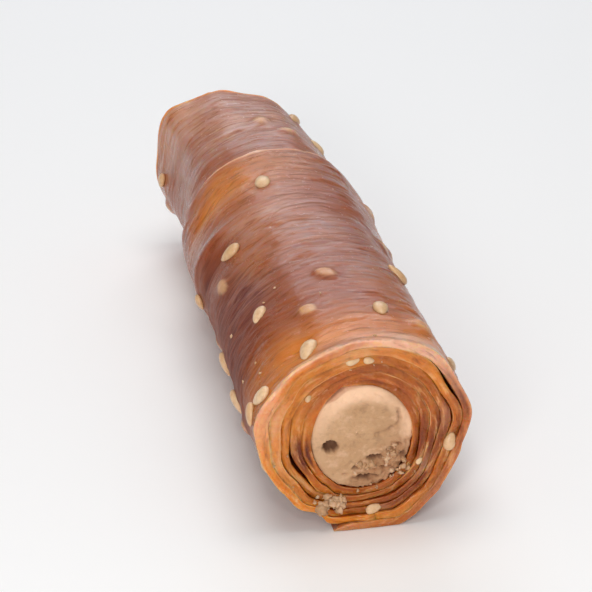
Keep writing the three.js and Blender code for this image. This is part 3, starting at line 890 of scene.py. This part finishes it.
def corePiece():
    # A profile from one face's middle out to its rim, along the bar and in again, carried round the axis
    columns, faceRings, bodyRings = pasteCore["columns"], pasteCore["faceRings"], pasteCore["bodyRings"]
    share = np.linspace(0, 1, faceRings + 1)
    out = np.concatenate([share[1:], np.ones(bodyRings - 1), share[:0:-1]])
    along = np.linspace(0, 1, bodyRings + 1)[1:-1]
    along = np.concatenate([np.zeros(faceRings), along, np.ones(faceRings)])
    degrees = np.linspace(0, 360, columns, endpoint=False)
    out, along, degrees = np.broadcast_arrays(out[:, None], along[:, None], degrees)
    flat = (along - 0.5) * (rollForm["length"] - 2 * rollForm["coreRecess"])
    edge = coreRadius(degrees, flat)
    radius = out * edge
    rise, aroundRun, alongRun, fromShare = pasteCore["edgeNoise"]
    noise = rise * gradientNoise(degrees / aroundRun, flat / alongRun, flat * 0, 61) * (out > fromShare)
    y = flat - along * farShortfall(degrees, radius)
    place = polar(degrees, radius + noise, y)
    atBack = along > 0.5
    side = np.where(atBack, -1.0, 1.0)
    x = side * (place[..., 0] - axisX(y) - rollForm["coreShift"][0])
    z = place[..., 2] - rollForm["axisHeight"] - rollForm["coreShift"][1]
    onFace = (along <= 0) | (along >= 1)
    depth, pitShade, below = (np.where(atBack, back, front) * onFace
                         for front, back in zip(faceRelief(x, z, 71), faceRelief(x * 0.8 + 1.3, z, 171)))
    run, drop = pasteCore["rim"]
    rimDrop = drop * np.clip((radius - edge + run) / run, 0, 1) ** 2
    place[..., 1] += side * (depth + rimDrop) * onFace
    points = np.concatenate([place.reshape(-1, 3), [place[0].mean(0), place[-1].mean(0)]])
    made = putMesh("pasteCore", points, closedGrid(len(out), columns)[:, ::-1])
    around = np.degrees(np.arctan2(z, x))
    # painted highlight on the rim of each face, at its top and its right
    lit = sum(share * bump(bearing(around - at), spread) for at, spread, share in pasteCore["lit"])
    lit = easeStep(np.hypot(x, z), 3.6, 5.2) * np.minimum(lit, 1)
    # the third share is painted shade, growing towards the lower right of each face
    tone = np.stack([pitShade, below, easeStep(x - 0.5 * z, 0.5, 6.0), lit], axis=-1)
    putTone(made, "tone", np.concatenate([tone.reshape(-1, 4), [[0, 0, 0, 1.0]] * 2]))
    return made


pasteFinish = {
    "pale": (0.62, 0.375, 0.205),
    # Each colour over the pale paste, with how its share follows what it reads
    "tan": ((0.53, 0.305, 0.155), (0.35, 0.7, 0, 1)),
    # painted shade towards the lower right of each face
    "lowerRightShade": ((0.52, 0.275, 0.145), (0.3, 0.7, 0.5, 1.0)),
    "rose": ((0.74, 0.46, 0.29), (0.52, 0.66, 0, 0.6)),
    "fleck": ((0.40, 0.225, 0.115), (0.42, 0.3, 0, 0.7)),
    # colour of the painted highlight on the rim
    "lit": ((0.98, 0.63, 0.41), (0, 1, 0, 1)),
    "crumb": ((0.46, 0.225, 0.105), (0.35, 0.6, 0.35, 0.85)),
    # painted shade in the hole, the crack and the pits
    "pitShade": ((0.19, 0.085, 0.042), (0.15, 0.8, 0, 0.95)),
    "clouds": ((230, 230, 230), 4, 0.6),
    "grain": ((1500, 1500, 1500), 4, 0.65),
    "flecks": ((620, 620, 900), 3, 0.65),
    "bump": {"Strength": 0.55, "Distance": 0.00018},
    "shader": {"Roughness": 0.78, "Subsurface Weight": 0.12, "Subsurface Radius": (1.0, 0.6, 0.3),
               "Subsurface Scale": 0.0008},
}


def pasteMaterial():
    # Pale paste, with each other colour laid over it by a noise, by a share of the piece, or by both
    made, tree, shader, coords = newMaterial("sesamePaste", pasteFinish["shader"])
    pitShade, below, lowerRightShade, lit = splitAttribute(tree, "tone")
    cloud, grain, fleck = (stretchedNoise(tree, coords, *pasteFinish[name])
                           for name in ("clouds", "grain", "flecks"))
    base = pasteFinish["pale"]
    for name, source, times in (("tan", cloud, 1.0), ("lowerRightShade", cloud, lowerRightShade), ("rose", fleck, 1.0),
                                ("fleck", fleck, 1.0), ("lit", lit, 1.0), ("crumb", grain, below),
                                ("pitShade", pitShade, 1.0)):
        color, span = pasteFinish[name]
        share = doMath(tree, "MULTIPLY", remap(tree, source, *span), times, clamp=True)
        base = mixColor(tree, share, base, color)
    bumps = addNode(tree, "ShaderNodeBump", {**pasteFinish["bump"], "Height": grain})
    tree.links.new(base, shader.inputs["Base Color"])
    tree.links.new(bumps.outputs[0], shader.inputs["Normal"])
    return made


core = corePiece()
core.data.materials.append(pasteMaterial())
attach(core, "root")
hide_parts("sesame_paste_core")
print("paste core:", len(core.data.polygons), "faces")


# Sesame seeds: one mesh
sesameSeeds = {
    "steps": (8, 12),  # along a seed and round it
    "flatter": 0.85,
    "sizes": (0.86, 1.08),
    "lift": 0.1,  # share of the height
    "sunk": 0.62,  # how much deeper a covered seed lies, mm
    # Seeds in the cut end: x, z, share of size, lean
    "inCut": [(-0.7, 9.4, 0.55, 8), (1.1, 9.25, 0.42, -12), (1.85, -9.3, 0.62, 14), (10.4, -1.4, 0.7, 72),
              (-5.6, 5.0, 0.3, 60), (7.1, -3.9, 0.32, 40)],
    "grain": ((1700, 1700, 1700), 3, 0.6),
    "colors": [(0.68, 0.41, 0.20), (0.85, 0.59, 0.35)],
    "speck": (0.4, 0.75, (0.46, 0.21, 0.08)),
    "shader": {"Roughness": 0.42, "Coat Weight": 0.3, "Coat Roughness": 0.15, "Subsurface Weight": 0.2,
               "Subsurface Radius": (1.0, 0.6, 0.3), "Subsurface Scale": 0.0006},
}


def ballPoints(steps, around):
    # A ball of radius one in rings about Z, its poles last
    lat = np.linspace(-math.pi / 2, math.pi / 2, steps + 1)[1:-1, None]
    lon = np.linspace(0, 2 * math.pi, around, endpoint=False)
    axes = np.cos(lat) * np.cos(lon), np.cos(lat) * np.sin(lon), np.sin(lat)
    rings = np.stack(np.broadcast_arrays(*axes), -1).reshape(-1, 3)
    return np.concatenate([rings, [[0, 0, -1], [0, 0, 1]]])


def dropShape(size):
    # A drop: a ball whose width and height narrow in a straight line towards +X, flatter underneath
    y, z, x = 0.5 * ballPoints(*sesameSeeds["steps"]).T
    narrow = 1 - 2.5 * seedForm["taper"] * x
    z = np.where(z < 0, sesameSeeds["flatter"] * z, z)
    return np.stack([x, y * narrow, z * narrow], -1) * size


def surfaceFrame(degrees, y):
    # Place, direction along the roll, across it and outwards at a point of the skin
    def skin(at):
        radius = faceRadius(skinTurn(at, y), 1, np.float64(y)) + 0.6 * seedForm["bulge"][0]
        return polar(np.float64(at), radius, np.float64(y))
    along = np.array([0.0, 1.0, 0.0])
    normal = np.cross(along, skin(degrees + 5) - skin(degrees - 5))
    normal /= np.linalg.norm(normal)
    return skin(degrees), along, np.cross(normal, along), normal


def turnAt(x, z):
    # The turn whose edge lies at a place of the shown cut end
    degrees, radius = math.degrees(math.atan2(z, x)), math.hypot(x, z)
    inner, outer = innerRadius(degrees), float(outerRadius(np.float64(degrees), -rollForm["length"] / 2))
    whole = rollForm["turns"] + rollForm["fill"]
    wanted = (radius - inner) / (outer - inner) * whole - rollForm["fill"] / 2
    lap = (rollForm["turns"] - (degrees - rollForm["looseEdge"]) / 360) % 1
    return min(max(lap + round(wanted - lap), lap), rollForm["turns"])


def cutDepth(x, z):
    # Where the shown cut end lies at a place, along Y: the jelly's edge, or the paste's face within it
    shiftX, shiftZ = rollForm["coreShift"]
    if math.hypot(x - shiftX, z - shiftZ) < rollForm["coreHalf"][0] - 0.2:
        depth = faceRelief(np.array([x - shiftX]), np.array([z - shiftZ]), 71)[0]
        return rollForm["coreRecess"] - rollForm["length"] / 2 + float(depth[0])
    turn = np.array([turnAt(x, z)])
    return float((frontEdge(turn) + edgeRag(turn, 91))[0])


def scatteredMesh(name, parts):
    # One mesh from many closed shapes, each with its points, its faces and a shade
    points, faces, tones, count = [], [], [], 0
    for shape, grid, shade in parts:
        points.append(shape)
        faces.append(grid + count)
        tones.append(np.tile([shade, 0, 0, 1], (len(shape), 1)))
        count += len(shape)
    made = putMesh(name, np.concatenate(points), np.concatenate(faces))
    putTone(made, "tone", np.concatenate(tones))
    return made


def grainMaterial(name, finish):
    # Two colours by each shape's own shade, and a third where the grain is strong
    made, tree, shader, coords = newMaterial(name, finish["shader"])
    base = mixColor(tree, splitAttribute(tree, "tone")[0], *finish["colors"])
    low, high, color = finish["speck"]
    grain = stretchedNoise(tree, coords, *finish["grain"])
    base = mixColor(tree, remap(tree, grain, low, high, 0, 0.5), base, color)
    tree.links.new(base, shader.inputs["Base Color"])
    return made


def seedParts():
    # A drop on the skin for each seed, turned about the surface's normal, then the drops in the cut end
    rng = np.random.default_rng(7)
    steps, around = sesameSeeds["steps"]
    faces, size = closedGrid(steps - 1, around), np.array(seedForm["size"])
    for (at, y, turnBy), cover in zip(seedPlaces, seedCovers):
        here, *axes = surfaceFrame(at, y)
        x, across, up = dropShape(size * rng.uniform(*sesameSeeds["sizes"])).T
        c, s = math.cos(turnBy), math.sin(turnBy)
        drop = np.stack([x * c - across * s, x * s + across * c, up], -1)
        lift = sesameSeeds["lift"] * size[2] - sesameSeeds["sunk"] * easeStep(cover, 0.2, 0.8)
        yield here + drop @ np.stack(axes) + axes[2] * lift, faces, rng.uniform(0, 1)
    for x, z, share, lean in sesameSeeds["inCut"]:
        c, s = math.cos(math.radians(lean)), math.sin(math.radians(lean))
        middle = np.array([x + rollForm["shiftX"], cutDepth(x, z), z + rollForm["axisHeight"]])
        axes = np.array([[c, 0.15, s], [-s, 0.1, c], [0, -1, 0]])
        yield middle + dropShape(size * share) @ axes, faces, rng.uniform(0.3, 1)


seeds = scatteredMesh("sesameSeeds", seedParts())
seeds.data.materials.append(grainMaterial("sesameSeed", sesameSeeds))
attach(seeds, "root")
print("seeds:", len(seeds.data.polygons), "faces")


# Crumbs of paste on the shown cut end and at its lower left
pasteCrumbs = {
    # Heaps: middle, spread, how many, least and greatest size
    "heaps": [((-3.1, -8.0), (1.3, 0.75), 30, (0.4, 1.3)), ((-2.2, -8.9), (0.8, 0.5), 10, (0.3, 0.8)),
              ((1.2, -4.4), (1.5, 0.7), 14, (0.4, 0.95)), ((4.0, -2.6), (0.7, 0.8), 8, (0.35, 0.8)),
              ((4.6, -4.6), (1.3, 1.2), 16, (0.3, 0.8)), ((1.8, -6.9), (2.0, 0.6), 4, (0.3, 0.7)),
              ((-7.5, -3.5), (1.4, 2.6), 3, (0.25, 0.45)), ((0.5, 8.8), (3.0, 0.8), 3, (0.25, 0.4))],
    # On the skin near the shown end: how many, angles, y, sizes
    "loose": (12, (50, 172), (-42, -22), (0.22, 0.5)),
    "steps": ((7, 9), (9, 12)),  # along and round a small crumb, and a large one
    "largeFrom": 0.6,
    "push": [(0.75, 1.0, 301), (0.35, 2.4, 303)],  # noise that pushes the ball out: share, rate, draw
    "squash": (0.5, 1.2),
    "draw": 23,
    "grain": ((1900, 1900, 1900), 3, 0.6),
    "colors": [(0.52, 0.29, 0.14), (0.78, 0.50, 0.31)],
    "speck": (0.45, 0.75, (0.40, 0.19, 0.08)),
    "shader": {"Roughness": 0.55, "Coat Weight": 0.2, "Subsurface Weight": 0.25,
               "Subsurface Radius": (1.0, 0.6, 0.3), "Subsurface Scale": 0.0005},
}


def crumb(place, size, rng):
    # A small ball pushed in and out by two sizes of noise, uneven in width, height and depth
    steps, around = pasteCrumbs["steps"][size > pasteCrumbs["largeFrom"]]
    ball = ballPoints(steps, around)
    spot = (ball * 1.5 + rng.uniform(0, 90, 3)).T
    push = 1 + sum(share * gradientNoise(*(spot * rate), draw) for share, rate, draw in pasteCrumbs["push"])
    shape = ball * push[:, None] * size / 2 * rng.uniform(*pasteCrumbs["squash"], 3)
    return place + shape, closedGrid(steps - 1, around), rng.uniform(0, 1)


def crumbParts():
    # Crumbs drawn about the middle of each heap, set on the cut end, then the loose ones on the skin
    rng = np.random.default_rng(pasteCrumbs["draw"])
    for (midX, midZ), (runX, runZ), count, (small, large) in pasteCrumbs["heaps"]:
        for _ in range(count):
            x, z = midX + runX * rng.normal() * 0.55, midZ + runZ * rng.normal() * 0.55
            size = small + (large - small) * rng.uniform() ** 1.8
            height = max(z + rollForm["axisHeight"], 0.4 * size)
            yield crumb(np.array([x + rollForm["shiftX"], cutDepth(x, z) - 0.1 * size, height]), size, rng)
    count, *ranges = pasteCrumbs["loose"]
    for _ in range(count):
        at, y, size = (rng.uniform(*span) for span in ranges)
        here, _, _, normal = surfaceFrame(at, y)
        yield crumb(here - 0.05 * normal, size, rng)


crumbs = scatteredMesh("pasteCrumbs", crumbParts())
crumbs.data.materials.append(grainMaterial("pasteCrumb", pasteCrumbs))
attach(crumbs, "root")
print("crumbs:", len(crumbs.data.polygons), "faces")


# Stage, light and camera
stage = {
    "floor": {"Base Color": (0.97, 0.97, 0.97), "Roughness": 0.7},
    "floorHalf": 900,
    "floorLevel": -0.05,
    "world": (1.0, 1.0, 1.0),
    "worldStrength": 0.27,
    "front": (0.0, -43.0, 11.4),  # the camera's distance is counted from here, mm
    "azimuth": -11.95,
    "elevation": 27.2,
    "distance": 325.0,
    "lens": 178.0,
    "aim": (0.0, -2.0, 10.5),
    # Lights: name, place, what it points at, size, watts, colour
    "lights": [("backSoftbox", (60, 420, 260), (0, 0, 8), (380, 160), 0.36, (0.84, 0.90, 1.0)),
               ("glintStrip", (20, 380, 330), (0, 0, 8), (340, 16), 0.3, (0.95, 0.96, 1.0)),
               ("sparkLight", (-70, -300, 250), (0, -40, 8), (20, 20), 0.08, (1.0, 0.99, 0.97)),
               ("rimStrip", (30, -330, 320), (0, -40, 8), (260, 12), 0.05, (1.0, 0.98, 0.96)),
               ("lowSpark", (-70, -420, 40), (0, -43, 10), (22, 22), 0.1, (1.0, 0.98, 0.96)),
               ("topSoftbox", (-10, -10, 420), (0, -5, 8), (250, 280), 0.72, (1.0, 0.99, 0.98)),
               ("frontFill", (-120, -340, 170), (0, -30, 8), (110, 90), 0.46, (1.0, 0.98, 0.95))],
}


def floorPiece():
    # A flat square, just under the roll
    side = np.linspace(-stage["floorHalf"], stage["floorHalf"], 3)
    x, y = np.meshgrid(side, side)
    points = np.stack([x.ravel(), y.ravel(), np.full(9, stage["floorLevel"])], -1)
    made = putMesh("studioFloor", points, np.array([[a, a + 1, a + 4, a + 3] for a in (0, 1, 3, 4)]))
    made.data.materials.append(newMaterial("paleFloor", stage["floor"])[0])


def aimed(name, data, place, target):
    # An object at a place in metres that looks at a target
    made = bpy.data.objects.new(name, data)
    made.location = place
    made.rotation_euler = (target - place).to_track_quat("-Z", "Y").to_euler()
    bpy.context.scene.collection.objects.link(made)
    return made


def softLight(name, place, target, size, watts, color):
    # A rectangular light, its place, target and size in millimetres
    data = bpy.data.lights.new(name, "AREA")
    data.shape = "RECTANGLE"
    data.size, data.size_y = size[0] * 0.001, size[1] * 0.001
    data.energy = watts
    data.color = color
    aimed(name, data, Vector(place) * 0.001, Vector(target) * 0.001)


def studioCamera():
    # The photograph's viewing angle: so far from the front of the roll, at this azimuth and elevation
    a, e = math.radians(stage["azimuth"]), math.radians(stage["elevation"])
    away = Vector((math.sin(a) * math.cos(e), -math.cos(a) * math.cos(e), math.sin(e)))
    data = bpy.data.cameras.new("studioCamera")
    data.lens = stage["lens"]
    data.sensor_width = 36
    data.clip_start = 0.01
    place = (Vector(stage["front"]) + away * stage["distance"]) * 0.001
    bpy.context.scene.camera = aimed("studioCamera", data, place, Vector(stage["aim"]) * 0.001)


floorPiece()
for light in stage["lights"]:
    softLight(*light)
world = bpy.data.worlds.new("paleRoom")
world.use_nodes = True
world.node_tree.nodes["Background"].inputs[0].default_value = (*stage["world"], 1)
world.node_tree.nodes["Background"].inputs[1].default_value = stage["worldStrength"]
bpy.context.scene.world = world
bpy.context.scene.view_settings.view_transform = "Standard"
studioCamera()
print("stage set")
